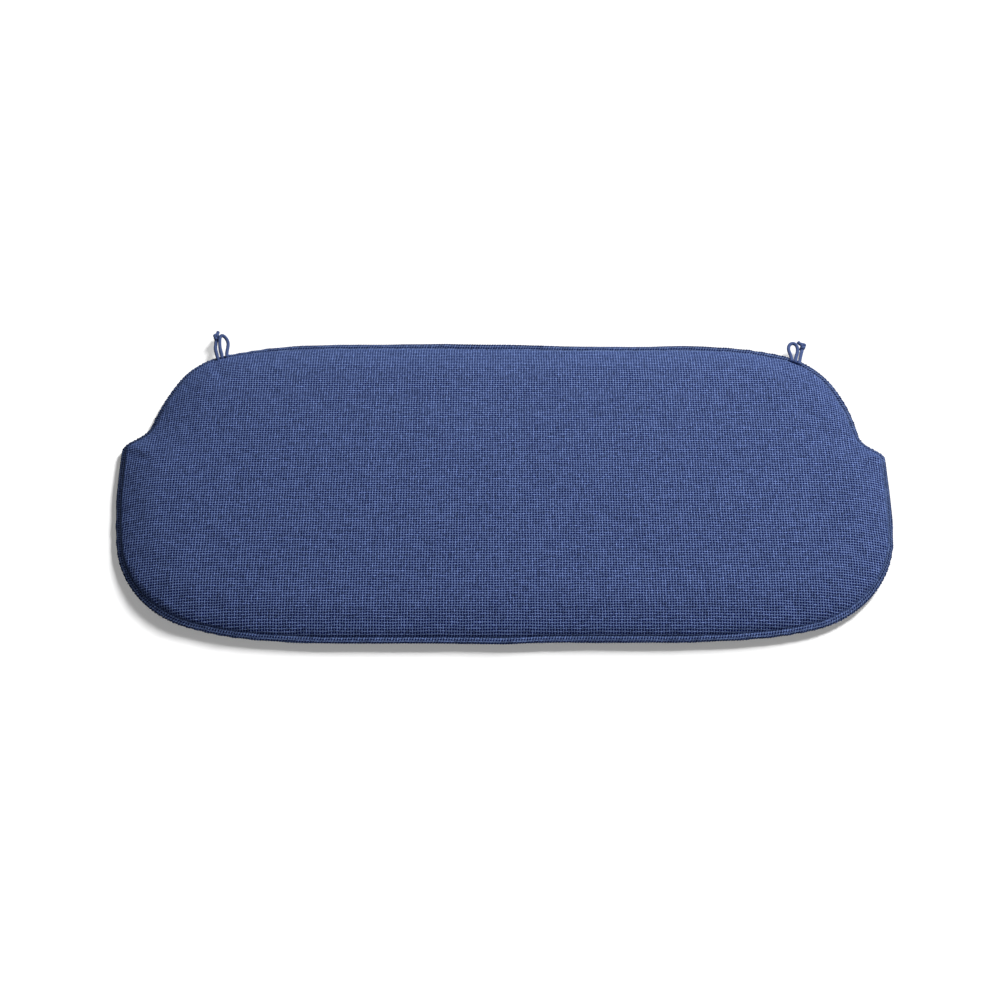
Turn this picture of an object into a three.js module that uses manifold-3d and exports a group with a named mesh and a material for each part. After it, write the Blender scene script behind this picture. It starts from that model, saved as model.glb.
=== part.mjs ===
// A thin sofa seat cushion with a rounded back and a notch at each side for the sofa's arms.
// Lengths are in millimetres, +X runs along the cushion, +Y towards its back and +Z up.
// The origin is on the surface it rests on, under the middle of the cushion's own box.
import * as THREE from "three";
import { mergeVertices } from "three/addons/utils/BufferGeometryUtils.js";
import Module from "manifold-3d";

// Driving dimensions
const WIDTH = 1192.5;
const DEPTH = 540;
const SEAM_HEIGHT = 10; // the seam runs this far above the surface, all round
const EDGE_ROLL = { inwards: 9, rise: 15 }; // the top cloth's roll, from the seam up
const SHOULDER = { rise: 6, reach: 18 }; // the soft rise that follows the roll and fades with distance
const CROWN = 3; // rise of the top from the shoulder to the middle
const CROWN_REACH = 230; // how far in from the seam the crown keeps rising
const UNDER_ROLL = 14; // how far in from the seam the underside lies flat
const LIP_REACH = 8.5; // how far the seam lip stands out from the seam
const LIP_THICKNESS = 3;
const LIP_DROOP = 3; // how far its outer edge hangs below the seam, but for the back, where it stands level
const LIP_ROUNDING = 1.2; // how far in from its outer edge the lip starts to thin
const CORD_DIAMETER = 5.2;
const KNOT_THICKNESS = 10.6;
const CLEARANCE = 0.3; // between pieces that touch

// The pad's rings, each some way in from the seam: on the underside, over the roll and up the crown
const UNDER_RINGS = [17.5, 8.4, 2.8];
const ROLL_RINGS = [0.5, 1.9, 4.5, 9, 16, 26];
const CROWN_RINGS = [45, 85, 130, 180];

// Facets of the round pieces
const CORD_SIDES = 8;
const KNOT_FACETS = { around: 14, down: 10 };

// The cushion was sewn a little askew: the left half of the back stands this much further back
// than the middle, and the right half as much less.
const BACK_SKEW = 2;
const SKEW_BLEND = 120;

// The front bows: to both sides of its middle the edge lies this much further back.
const FRONT_RISE = { left: 1, right: 3 };
const RISE_BLEND = 80;

// Between the shoulders the back is drawn in by the filling, which also lifts the lip there.
const BACK_DRAW = 3;
const DRAW_BLEND = { from: 300, to: 400 };

// The outer edge, from the middle of the back round each end to the middle of the front. Each run turns
// towards the front by some degrees on a radius, and a negative turn is the hollow of the notch. The
// straight runs at the back, side and front have no row: their lengths follow from the width and depth.
const RUNS_BEFORE_SIDE = [
  { run: "shoulder lead", left: { turn: 14, radius: 780 }, right: { turn: 14, radius: 680 } },
  { run: "shoulder", left: { turn: 46, radius: 115 }, right: { turn: 47, radius: 128 } },
  { run: "flank", left: { turn: 15, radius: 325 }, right: { turn: 20, radius: 268 } },
  { run: "notch hollow", left: { turn: -41, radius: 42 }, right: { turn: -46, radius: 36 } },
  { run: "notch step", straight: 19.5 },
  { run: "notch corner", left: { turn: 56, radius: 24 }, right: { turn: 55, radius: 18 } },
];
const RUNS_AFTER_SIDE = [
  { run: "side bow", left: { turn: 9, radius: 855 }, right: { turn: 5, radius: 1020 } },
  { run: "front corner", left: { turn: 64, radius: 173 }, right: { turn: 72, radius: 181 } },
  { run: "front lead", left: { turn: 12, radius: 514 }, right: { turn: 8, radius: 596 } },
  { run: "front bow", left: { turn: 5, radius: 1500 }, right: { turn: 5, radius: 1500 } },
];
const DEGREES_PER_STEP = 7;
const LONGEST_STEP = 48;

// Colours of the cloth and cord
const cloth = { color: 0x415487, roughness: 0.9, metalness: 0 };
const lipCloth = { color: 0x394a78, roughness: 0.92, metalness: 0 };
const cordCover = { color: 0x4a5a88, roughness: 0.7, metalness: 0 };

const wasm = await Module();
wasm.setup();

const radians = THREE.MathUtils.degToRad;

// Walks one half of the outer edge and gives its points, each with its outward direction.
function walkHalf(side, backStraight, sideStraight) {
  const points = [];
  let x = 0;
  let y = 0;
  let heading = 0;
  const mark = () => points.push({ x, y, nx: Math.sin(-heading), ny: Math.cos(heading) });
  const goStraight = (length) => {
    const steps = Math.max(1, Math.ceil(length / LONGEST_STEP));
    for (let k = 0; k < steps; k += 1) {
      x += (Math.cos(heading) * length) / steps;
      y += (Math.sin(heading) * length) / steps;
      mark();
    }
  };
  const goRound = ({ turn, radius }) => {
    const arcLength = radians(Math.abs(turn)) * radius;
    const steps = Math.max(Math.ceil(Math.abs(turn) / DEGREES_PER_STEP), Math.ceil(arcLength / LONGEST_STEP));
    const bend = -radians(turn) / steps;
    const chord = 2 * radius * Math.sin(Math.abs(bend) / 2);
    for (let k = 0; k < steps; k += 1) {
      x += Math.cos(heading + bend / 2) * chord;
      y += Math.sin(heading + bend / 2) * chord;
      heading += bend;
      mark();
    }
  };
  const goAlong = (row) => (row.straight ? goStraight(row.straight) : goRound(row[side]));
  mark();
  goStraight(backStraight);
  RUNS_BEFORE_SIDE.forEach(goAlong);
  goStraight(sideStraight);
  RUNS_AFTER_SIDE.forEach(goAlong);
  return points;
}

// One half at its full width and depth, ending before the middle of the front.
function halfEdge(side) {
  const bare = walkHalf(side, 0, 0);
  const reach = Math.max(...bare.map((p) => p.x));
  const depth = -bare[bare.length - 1].y;
  const points = walkHalf(side, WIDTH / 2 - reach, DEPTH - depth);
  const last = points[points.length - 1];
  const steps = Math.ceil(last.x / LONGEST_STEP);
  for (let k = 1; k < steps; k += 1) {
    points.push({ x: last.x * (1 - k / steps), y: last.y, nx: 0, ny: -1 });
  }
  const sign = side === "left" ? -1 : 1;
  return points.map((p) => {
    const towardsBack = THREE.MathUtils.smoothstep(p.y, -DEPTH, -DEPTH / 2);
    const skew = -sign * BACK_SKEW * THREE.MathUtils.smoothstep(p.x, 0, SKEW_BLEND) * towardsBack;
    const rise = FRONT_RISE[side] * THREE.MathUtils.smoothstep(p.x, 0, RISE_BLEND) * (1 - towardsBack);
    const drawn = (1 - THREE.MathUtils.smoothstep(p.x, DRAW_BLEND.from, DRAW_BLEND.to)) * towardsBack;
    return { x: sign * p.x, y: p.y + skew + rise - BACK_DRAW * drawn, nx: sign * p.nx, ny: p.ny, drawn };
  });
}

// The whole outer edge, counter-clockwise seen from above, with its box centred on the origin.
function outerEdge() {
  const right = halfEdge("right");
  const left = halfEdge("left");
  const frontMiddle = { x: 0, y: -DEPTH, nx: 0, ny: -1, drawn: 0 };
  const edge = [...left, frontMiddle, ...right.slice(1).reverse()];
  const ys = edge.map((p) => p.y);
  const middle = (Math.max(...ys) + Math.min(...ys)) / 2;
  return edge.map((p) => ({ ...p, y: p.y - middle }));
}

const edge = outerEdge();
const atSeam = (p, outwards) => ({
  x: p.x + p.nx * (outwards - LIP_REACH),
  y: p.y + p.ny * (outwards - LIP_REACH),
});
const seam = edge.map((p) => atSeam(p, 0));

// How far a point in the plan lies from the seam.
function distanceFromSeam(p) {
  let nearest = Infinity;
  seam.forEach((a, i) => {
    const b = seam[(i + 1) % seam.length];
    const abx = b.x - a.x;
    const aby = b.y - a.y;
    const along = ((p.x - a.x) * abx + (p.y - a.y) * aby) / (abx * abx + aby * aby);
    const t = THREE.MathUtils.clamp(along, 0, 1);
    nearest = Math.min(nearest, Math.hypot(p.x - a.x - abx * t, p.y - a.y - aby * t));
  });
  return nearest;
}

// Share of its rise that a rounded edge has reached at some distance in from where it starts.
const quarterRound = (distance, reach) => {
  const left = 1 - Math.min(distance / reach, 1);
  return Math.sqrt(1 - left * left);
};

const topHeight = (distance) => {
  const roll = EDGE_ROLL.rise * quarterRound(distance, EDGE_ROLL.inwards);
  const shoulder = SHOULDER.rise * (1 - Math.exp(-distance / SHOULDER.reach));
  const left = 1 - Math.min(distance / CROWN_REACH, 1);
  return SEAM_HEIGHT + roll + shoulder + CROWN * (1 - left * left);
};

const underHeight = (distance) => SEAM_HEIGHT * (1 - quarterRound(distance, UNDER_ROLL));

// A ring of points some way in from the seam, each on a straight line to the cushion's middle bar.
const MIDDLE_BAR = { halfLength: 340, y: 0 };
function ringInside(inset, height) {
  return seam.map((p) => {
    const target = THREE.MathUtils.clamp(p.x, -MIDDLE_BAR.halfLength, MIDDLE_BAR.halfLength);
    const dx = target - p.x;
    const dy = MIDDLE_BAR.y - p.y;
    const share = inset / Math.hypot(dx, dy);
    const inside = { x: p.x + dx * share, y: p.y + dy * share };
    return new THREE.Vector3(inside.x, inside.y, height(distanceFromSeam(inside)));
  });
}

// A closed body from rings of points, the first one closed by a cap below and the last by one above.
function bodyFromRings(rings, capped) {
  const count = rings[0].length;
  const vertices = rings.flat();
  const faces = [];
  const bands = capped ? rings.length - 1 : rings.length;
  for (let r = 0; r < bands; r += 1) {
    const low = r * count;
    const high = ((r + 1) % rings.length) * count;
    for (let i = 0; i < count; i += 1) {
      const j = (i + 1) % count;
      faces.push([low + i, low + j, high + j], [low + i, high + j, high + i]);
    }
  }
  if (capped) {
    const flat = (ring) => ring.map((v) => new THREE.Vector2(v.x, v.y));
    const top = (rings.length - 1) * count;
    THREE.ShapeUtils.triangulateShape(flat(rings[0]), []).forEach(([a, b, c]) => faces.push([c, b, a]));
    THREE.ShapeUtils.triangulateShape(flat(rings[rings.length - 1]), []).forEach((face) =>
      faces.push(face.map((v) => top + v)),
    );
  }
  const geometry = new THREE.BufferGeometry().setFromPoints(vertices);
  geometry.setIndex(faces.flat());
  return geometry.toNonIndexed();
}

function named(name, geometry, material) {
  geometry.computeVertexNormals();
  const mesh = new THREE.Mesh(geometry, new THREE.MeshStandardMaterial(material));
  mesh.name = name;
  return mesh;
}

// The filled pad: a flat underside, a rolled edge over the seam and a low crown.
function cushionPad() {
  const rings = [
    ...UNDER_RINGS.map((inset) => ringInside(inset, underHeight)),
    ringInside(0, () => SEAM_HEIGHT),
    ...ROLL_RINGS.map((inset) => ringInside(inset, topHeight)),
    ...CROWN_RINGS.map((inset) => ringInside(inset, topHeight)),
  ];
  rings[0].forEach((v) => v.setZ(0));
  const summit = rings[rings.length - 1];
  const summitHeight = topHeight(CROWN_REACH);
  summit.forEach((v) => v.setZ(summitHeight));
  return named("cushion_pad", bodyFromRings(rings, true), cloth);
}

// The seam lip: a flat strip of folded cloth that follows the seam all round and droops a little.
function edgeLip() {
  const half = LIP_THICKNESS / 2;
  const section = [
    { out: CLEARANCE, up: -half, droops: false },
    { out: LIP_REACH - LIP_ROUNDING, up: -half, droops: true },
    { out: LIP_REACH, up: 0, droops: true },
    { out: LIP_REACH - LIP_ROUNDING, up: half, droops: true },
    { out: CLEARANCE, up: half, droops: false },
  ];
  const rings = section.map(({ out, up, droops }) =>
    edge.map((p) => {
      const place = atSeam(p, out);
      const droop = droops ? LIP_DROOP * (1 - p.drawn) : 0;
      return new THREE.Vector3(place.x, place.y, SEAM_HEIGHT + up - droop);
    }),
  );
  return named("edge_lip", bodyFromRings(rings, false), lipCloth);
}

// A tie's cord: a round section drawn along a smooth curve through its points.
function cord(name, points, steps) {
  const section = new THREE.Shape();
  for (let k = 0; k < CORD_SIDES; k += 1) {
    const angle = (k / CORD_SIDES) * 2 * Math.PI;
    const x = (CORD_DIAMETER / 2) * Math.cos(angle);
    const y = (CORD_DIAMETER / 2) * Math.sin(angle);
    if (k === 0) section.moveTo(x, y);
    else section.lineTo(x, y);
  }
  section.closePath();
  const curve = new THREE.CatmullRomCurve3(points.map((p) => new THREE.Vector3(...p)), false, "centripetal");
  const geometry = new THREE.ExtrudeGeometry(section, { steps, extrudePath: curve, curveSegments: 1 });
  return named(name, geometry, cordCover);
}

function solidOf(geometry) {
  const bare = geometry.index ? geometry.toNonIndexed() : geometry.clone();
  bare.deleteAttribute("normal");
  bare.deleteAttribute("uv");
  const merged = mergeVertices(bare, 1e-4);
  return new wasm.Manifold(
    new wasm.Mesh({
      numProp: 3,
      vertProperties: merged.attributes.position.array,
      triVerts: new Uint32Array(merged.index.array),
    }),
  );
}

function geometryOf(solid) {
  const { vertProperties, triVerts } = solid.getMesh();
  const geometry = new THREE.BufferGeometry();
  geometry.setAttribute("position", new THREE.BufferAttribute(vertProperties, 3));
  geometry.setIndex(new THREE.BufferAttribute(triVerts, 1));
  return geometry.toNonIndexed();
}

// A tight overhand knot as its outer form, with the short free end that stands out of it.
function knot(name, centre, { width, length, turned, tailTo }) {
  const ball = new THREE.SphereGeometry(0.5, KNOT_FACETS.around, KNOT_FACETS.down);
  ball.scale(width, length, KNOT_THICKNESS);
  ball.rotateZ(radians(turned));
  ball.translate(...centre);
  const from = new THREE.Vector3(...centre);
  const to = new THREE.Vector3(...tailTo);
  const radius = CORD_DIAMETER / 2;
  const tail = new THREE.CylinderGeometry(radius, radius, from.distanceTo(to), CORD_SIDES);
  const upright = new THREE.Vector3(0, 1, 0);
  const lean = new THREE.Quaternion().setFromUnitVectors(upright, to.clone().sub(from).normalize());
  tail.applyQuaternion(lean);
  const halfWay = from.clone().lerp(to, 0.5);
  tail.translate(halfWay.x, halfWay.y, halfWay.z);
  return named(name, geometryOf(solidOf(ball).add(solidOf(tail))), cordCover);
}

// The left ties: a plain loop, and outside it a single cord that ends in a knot beside the loop's shoulder.
function leftTies() {
  const loop = [
    [-452.4, 241.6, 14],
    [-453.9, 248.3, 13.1],
    [-455.3, 253, 12.6],
    [-456.5, 257.6, 12.4],
    [-457.6, 262.4, 12.6],
    [-458.3, 267.1, 13],
    [-458.7, 272.3, 13.4],
    [-458.9, 277.6, 13.8],
    [-458.1, 282.3, 14],
    [-455.8, 284.8, 13.8],
    [-452.3, 283.4, 13],
    [-449, 280, 12],
    [-446.4, 275, 11.4],
    [-445.1, 269.2, 11.2],
    [-445.1, 263.5, 11.3],
    [-445.5, 257.7, 11.6],
    [-445.6, 251.7, 12.2],
    [-445.3, 246.8, 13],
    [-444.7, 243.7, 14],
  ];
  const tie = [
    [-459, 239.3, 14],
    [-461.1, 246.3, 12.9],
    [-463.1, 252.9, 12],
    [-464.7, 258.4, 11.2],
    [-465.3, 263.6, 10.6],
    [-465.2, 268.8, 10.1],
    [-465.5, 276.6, 8.8],
  ];
  return [
    cord("left_loop", loop, 28),
    cord("left_tie", tie, 9),
    knot("left_knot", [-466.3, 282.9, 8], { width: 10.4, length: 11.6, turned: 4, tailTo: [-463.6, 295.6, 9] }),
  ];
}

// The right ties: the same loop and knotted cord, the knot's free end turned back over the loop.
function rightTies() {
  const loop = [
    [464.6, 235.8, 14],
    [464.5, 239.8, 12.9],
    [463.9, 246.7, 12],
    [462.4, 253.4, 11.5],
    [461.7, 259.9, 11.3],
    [463, 266, 11.2],
    [466.2, 269.8, 11.2],
    [470, 270.8, 11.2],
    [473.5, 268.7, 11.3],
    [475.7, 263.8, 11.5],
    [475.9, 257.3, 11.7],
    [474.8, 250.7, 12],
    [472.8, 244.5, 12.4],
    [471.3, 239, 12.9],
    [470.5, 233.1, 14],
  ];
  const tie = [
    [476.1, 230.3, 14],
    [477.3, 234.7, 13.1],
    [478.6, 239.9, 12.3],
    [479.9, 245.1, 11.6],
    [481.3, 250.5, 10.9],
    [483.4, 257.5, 9.5],
  ];
  return [
    cord("right_loop", loop, 24),
    cord("right_tie", tie, 8),
    knot("right_knot", [484.7, 264, 8.4], { width: 12, length: 12, turned: -12, tailTo: [478.2, 272.1, 12.6] }),
  ];
}

const cushion = new THREE.Group();
cushion.add(cushionPad(), edgeLip(), ...leftTies(), ...rightTies());

export default cushion;
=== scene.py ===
# A thin sofa seat cushion in blue plain-weave cloth, with a seam lip all round and a set of cord ties at each
# end of its back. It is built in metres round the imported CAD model: +X along it, +Y to its back, +Z up.
import math

import bpy
import numpy as np
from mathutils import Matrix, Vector, kdtree, noise
from mathutils.geometry import delaunay_2d_cdt


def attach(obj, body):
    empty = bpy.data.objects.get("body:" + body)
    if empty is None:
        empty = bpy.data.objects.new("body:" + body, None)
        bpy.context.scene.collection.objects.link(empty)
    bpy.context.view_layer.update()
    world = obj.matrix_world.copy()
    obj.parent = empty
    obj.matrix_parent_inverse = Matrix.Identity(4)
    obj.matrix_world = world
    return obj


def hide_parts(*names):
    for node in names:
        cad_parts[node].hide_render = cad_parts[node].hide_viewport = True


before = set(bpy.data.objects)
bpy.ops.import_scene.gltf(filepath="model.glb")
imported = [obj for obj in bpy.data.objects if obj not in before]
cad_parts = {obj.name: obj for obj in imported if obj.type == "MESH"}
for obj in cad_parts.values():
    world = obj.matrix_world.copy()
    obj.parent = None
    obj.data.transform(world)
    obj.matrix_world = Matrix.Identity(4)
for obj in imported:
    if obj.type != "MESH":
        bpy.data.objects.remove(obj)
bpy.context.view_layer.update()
scene = bpy.context.scene

# The camera stands in front of the cushion, nearly three metres off, and looks down on it at 59 degrees,
# so that the whole top, the front lip and the ties behind the back edge show.
camera_data = bpy.data.cameras.new("studio_camera")
camera_data.sensor_width = 36
camera_data.lens = 64.87
camera_data.clip_start = 0.1
camera = bpy.data.objects.new("studio_camera", camera_data)
camera.location = (-0.0048, -1.4499, 2.3828)
looking_at = Vector((-0.0048, -0.0181, 0.0))
camera.rotation_euler = (looking_at - camera.location).to_track_quat("-Z", "Y").to_euler()
scene.collection.objects.link(camera)
scene.camera = camera


# The ties are lengths of round braided cord, sewn into the back seam. At each end of the back one length goes
# out and back into the seam as a plain loop. Beside it one cord stands out, stopped with an overhand knot.
CORD_DIAMETER = 0.0056
CORD_SEGMENTS = 32
BRAID_STRANDS = 8
STRAND_MIDDLE = 0.7
WELD_DISTANCE = 0.000002
ROUTE_SPACING = 0.0004
FINE_STEPS = 60
FEWEST_POINTS = 8
CROSSING_SWING = 0.42


def calculate(tree, operation, *values):
    """Adds one Math node to a shader or geometry tree and gives its result."""
    node = tree.nodes.new("ShaderNodeMath")
    node.operation = operation
    for socket, value in zip(node.inputs, values):
        if isinstance(value, (int, float)):
            socket.default_value = value
        else:
            tree.links.new(value, socket)
    return node.outputs[0]


def cross_threads(tree, across, along, half_widths):
    """Two sets of crossing threads in plain weave, one thread to each whole number across and along.

    Gives the height of each set from 0 in the gaps to 1 on top of a crossing."""
    heights = []
    sets = ((across, along, 1.0, half_widths[0]), (along, across, -1.0, half_widths[1]))
    for place, run, sign, half_width in sets:
        thread = calculate(tree, "FLOOR", place)
        off_centre = calculate(tree, "SUBTRACT", calculate(tree, "FRACT", place), 0.5)
        share = calculate(tree, "DIVIDE", off_centre, half_width)
        left = calculate(tree, "SUBTRACT", 1.0, calculate(tree, "MULTIPLY", share, share))
        round_top = calculate(tree, "SQRT", calculate(tree, "MAXIMUM", left, 0.0))
        wave = calculate(tree, "SINE", calculate(tree, "MULTIPLY", run, math.pi))
        turn = calculate(tree, "COSINE", calculate(tree, "MULTIPLY", thread, math.pi))
        rise = calculate(tree, "MULTIPLY", calculate(tree, "MULTIPLY", wave, turn), CROSSING_SWING * sign)
        lifted = calculate(tree, "ADD", rise, 1 - CROSSING_SWING)
        heights.append(calculate(tree, "MULTIPLY", round_top, lifted))
    return heights


def smooth_route(points, spacing):
    """A centripetal Catmull-Rom curve through the points, as evenly spaced points."""
    p = np.array(points, float)
    p = np.vstack([2 * p[0] - p[1], p, 2 * p[-1] - p[-2]])
    fine = []
    for a, b, c, d in zip(p[:-3], p[1:-2], p[2:-1], p[3:]):
        t1 = np.linalg.norm(b - a) ** 0.5
        t2 = t1 + np.linalg.norm(c - b) ** 0.5
        t3 = t2 + np.linalg.norm(d - c) ** 0.5
        t = np.linspace(t1, t2, FINE_STEPS, endpoint=False)[:, None]
        ab = a + (b - a) * t / t1
        bc = b + (c - b) * (t - t1) / (t2 - t1)
        cd = c + (d - c) * (t - t2) / (t3 - t2)
        abc = ab + (bc - ab) * t / t2
        bcd = bc + (cd - bc) * (t - t1) / (t3 - t1)
        fine.append(abc + (bcd - abc) * (t - t1) / (t2 - t1))
    fine = np.vstack([*fine, p[-2:-1]])
    walked = np.concatenate([[0], np.cumsum(np.linalg.norm(np.diff(fine, axis=0), axis=1))])
    at = np.linspace(0, walked[-1], max(FEWEST_POINTS, round(walked[-1] / spacing)))
    return np.stack([np.interp(at, walked, fine[:, axis]) for axis in range(3)], axis=1)


def add_inputs(tree, rows):
    """Gives a tree its named inputs, each with its usual value, and returns the sockets that read them."""
    for label, kind, value in rows:
        socket = tree.interface.new_socket(label, in_out="INPUT", socket_type=kind)
        if value is not None:
            socket.default_value = value
    return tree.nodes.new("NodeGroupInput").outputs


def end_tree(tree, surface, relief, material):
    """Moves a surface out by its relief and shades it smooth.

    The tree ends with its instances made real and its material set."""
    outwards = tree.nodes.new("ShaderNodeVectorMath")
    outwards.operation = "SCALE"
    normal = tree.nodes.new("GeometryNodeInputNormal").outputs["Normal"]
    tree.links.new(normal, outwards.inputs["Vector"])
    tree.links.new(relief, outwards.inputs["Scale"])
    press = tree.nodes.new("GeometryNodeSetPosition")
    tree.links.new(surface, press.inputs["Geometry"])
    tree.links.new(outwards.outputs["Vector"], press.inputs["Offset"])
    smooth = tree.nodes.new("GeometryNodeSetShadeSmooth")
    tree.links.new(press.outputs["Geometry"], smooth.inputs["Geometry"])
    realize = tree.nodes.new("GeometryNodeRealizeInstances")
    tree.links.new(smooth.outputs["Geometry"], realize.inputs["Geometry"])
    finish = tree.nodes.new("GeometryNodeSetMaterial")
    tree.links.new(realize.outputs["Geometry"], finish.inputs["Geometry"])
    tree.links.new(material, finish.inputs["Material"])
    tree.interface.new_socket("Piece", in_out="OUTPUT", socket_type="NodeSocketGeometry")
    tree.links.new(finish.outputs["Geometry"], tree.nodes.new("NodeGroupOutput").inputs["Piece"])


# The cord tree sweeps a circle along the route, presses the crossing strands of the braid into it and rounds
# off both ends. It keeps the length along and the way round as the map that the braid's material reads.
cord_tree = bpy.data.node_groups.new("braided_cord", "GeometryNodeTree")
given = add_inputs(
    cord_tree,
    (
        ("Route", "NodeSocketGeometry", None),
        ("Diameter", "NodeSocketFloat", CORD_DIAMETER),
        ("Strands", "NodeSocketFloat", float(BRAID_STRANDS)),
        ("Strand Relief", "NodeSocketFloat", 0.00022),
        ("End Rounding", "NodeSocketFloat", 0.0011),
        ("Cord", "NodeSocketMaterial", None),
    ),
)
nodes, links = cord_tree.nodes, cord_tree.links
route_place = nodes.new("GeometryNodeSplineParameter")
route_length = nodes.new("GeometryNodeSplineLength")
walked = route_place.outputs["Length"]
to_far_end = calculate(cord_tree, "SUBTRACT", route_length.outputs["Length"], walked)
to_an_end = calculate(cord_tree, "MINIMUM", walked, to_far_end)
share = calculate(cord_tree, "DIVIDE", to_an_end, given["End Rounding"])
share_left = calculate(cord_tree, "MAXIMUM", calculate(cord_tree, "SUBTRACT", 1.0, share), 0.0)
end_shape = calculate(cord_tree, "SUBTRACT", 1.0, calculate(cord_tree, "MULTIPLY", share_left, share_left))
end_shape = calculate(cord_tree, "SQRT", calculate(cord_tree, "MAXIMUM", end_shape, 0.0))
keep_along = nodes.new("GeometryNodeCaptureAttribute")
keep_along.capture_items.new("FLOAT", "along")
keep_along.capture_items.new("FLOAT", "end_shape")
links.new(given["Route"], keep_along.inputs["Geometry"])
links.new(walked, keep_along.inputs["along"])
links.new(end_shape, keep_along.inputs["end_shape"])
circle = nodes.new("GeometryNodeCurveArc")
circle.inputs["Resolution"].default_value = CORD_SEGMENTS + 1
circle.inputs["Sweep Angle"].default_value = 2 * math.pi
links.new(calculate(cord_tree, "MULTIPLY", given["Diameter"], 0.5), circle.inputs["Radius"])
keep_around = nodes.new("GeometryNodeCaptureAttribute")
keep_around.capture_items.new("FLOAT", "around")
links.new(circle.outputs["Curve"], keep_around.inputs["Geometry"])
links.new(nodes.new("GeometryNodeSplineParameter").outputs["Factor"], keep_around.inputs["around"])
sweep = nodes.new("GeometryNodeCurveToMesh")
links.new(keep_along.outputs["Geometry"], sweep.inputs["Curve"])
links.new(keep_around.outputs["Geometry"], sweep.inputs["Profile Curve"])
links.new(keep_along.outputs["end_shape"], sweep.inputs["Scale"])
girth = calculate(cord_tree, "MULTIPLY", given["Diameter"], math.pi)
girths_along = calculate(cord_tree, "DIVIDE", keep_along.outputs["along"], girth)
strands_along = calculate(cord_tree, "MULTIPLY", girths_along, given["Strands"])
strands_around = calculate(cord_tree, "MULTIPLY", keep_around.outputs["around"], given["Strands"])
one_way = calculate(cord_tree, "ADD", strands_around, strands_along)
other_way = calculate(cord_tree, "SUBTRACT", strands_around, strands_along)
braid_map = nodes.new("ShaderNodeCombineXYZ")
links.new(one_way, braid_map.inputs["X"])
links.new(other_way, braid_map.inputs["Y"])
store_map = nodes.new("GeometryNodeStoreNamedAttribute")
store_map.data_type = "FLOAT2"
store_map.domain = "CORNER"
store_map.inputs["Name"].default_value = "grain"
links.new(sweep.outputs["Mesh"], store_map.inputs["Geometry"])
links.new(braid_map.outputs["Vector"], store_map.inputs["Value"])
weld = nodes.new("GeometryNodeMergeByDistance")
weld.inputs["Distance"].default_value = WELD_DISTANCE
links.new(store_map.outputs["Geometry"], weld.inputs["Geometry"])
strand_heights = cross_threads(cord_tree, one_way, other_way, half_widths=(0.5, 0.5))
strand_height = calculate(cord_tree, "MAXIMUM", *strand_heights)
relief = calculate(cord_tree, "SUBTRACT", strand_height, STRAND_MIDDLE)
relief = calculate(cord_tree, "MULTIPLY", relief, given["Strand Relief"])
relief = calculate(cord_tree, "MULTIPLY", relief, keep_along.outputs["end_shape"])
end_tree(cord_tree, weld.outputs["Geometry"], relief, given["Cord"])

# The weave that the cloth and the braid share. It puts out a tone from 0 in the gaps to 1 on the threads, the
# threads' height, and how much darker or lighter each thread is along its slubs and at its flecks. Threads
# drift a little off their lines, and each reads its slubs from a row of the noise of its own.
DRIFT_SCALE = 0.13
SLUB_ROW = 7.13
WEFT_ROW = 311.7
FLECK_SCALE = 0.9
SLUB_THICKNESS = 0.5
FULL_TONE = 0.8
DULLNESS = 0.05
SHEEN_ROUGHNESS = 0.8
SHEEN_TINT = (0.26, 0.42, 1.0)
weave = bpy.data.node_groups.new("plain_weave", "ShaderNodeTree")
given = add_inputs(
    weave,
    (
        ("Grain", "NodeSocketVector", None),
        ("Thread Width", "NodeSocketFloat", 0.8),
        ("Wander", "NodeSocketFloat", 0.0),
        ("Slub", "NodeSocketFloat", 0.3),
        ("Slub Length", "NodeSocketFloat", 9.0),
        ("Fleck", "NodeSocketFloat", 0.2),
    ),
)
for label in ("Tone", "Height", "Slub Tone"):
    weave.interface.new_socket(label, in_out="OUTPUT", socket_type="NodeSocketFloat")
nodes, links = weave.nodes, weave.links
split = nodes.new("ShaderNodeSeparateXYZ")
links.new(given["Grain"], split.inputs[0])


def weave_noise(vector, scale, detail):
    """A flat noise over the threads' own coordinates."""
    texture = nodes.new("ShaderNodeTexNoise")
    texture.noise_dimensions = "2D"
    texture.inputs["Scale"].default_value = scale
    texture.inputs["Detail"].default_value = detail
    links.new(vector, texture.inputs["Vector"])
    return texture


def pair(x, y):
    """Two values joined to one place."""
    joined = nodes.new("ShaderNodeCombineXYZ")
    links.new(x, joined.inputs["X"])
    links.new(y, joined.inputs["Y"])
    return joined.outputs["Vector"]


drift = nodes.new("ShaderNodeSeparateXYZ")
links.new(weave_noise(given["Grain"], DRIFT_SCALE, detail=2.0).outputs["Color"], drift.inputs[0])
places = []
for axis in (0, 1):
    off_line = calculate(weave, "SUBTRACT", drift.outputs[axis], 0.5)
    off_line = calculate(weave, "MULTIPLY", off_line, given["Wander"])
    places.append(calculate(weave, "ADD", split.outputs[axis], off_line))
slub_tones = []
for place, run, shift in ((places[0], places[1], 0.0), (places[1], places[0], WEFT_ROW)):
    thread = calculate(weave, "MULTIPLY", calculate(weave, "FLOOR", place), SLUB_ROW)
    thread = calculate(weave, "ADD", thread, shift)
    stretch = calculate(weave, "DIVIDE", run, given["Slub Length"])
    uneven = weave_noise(pair(thread, stretch), 1.0, detail=1.5).outputs["Fac"]
    uneven = calculate(weave, "SUBTRACT", uneven, 0.5)
    uneven = calculate(weave, "MULTIPLY", uneven, given["Slub"])
    slub_tones.append(calculate(weave, "MULTIPLY", uneven, 2.0))
half_width = calculate(weave, "MULTIPLY", given["Thread Width"], 0.5)
half_widths = []
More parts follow.
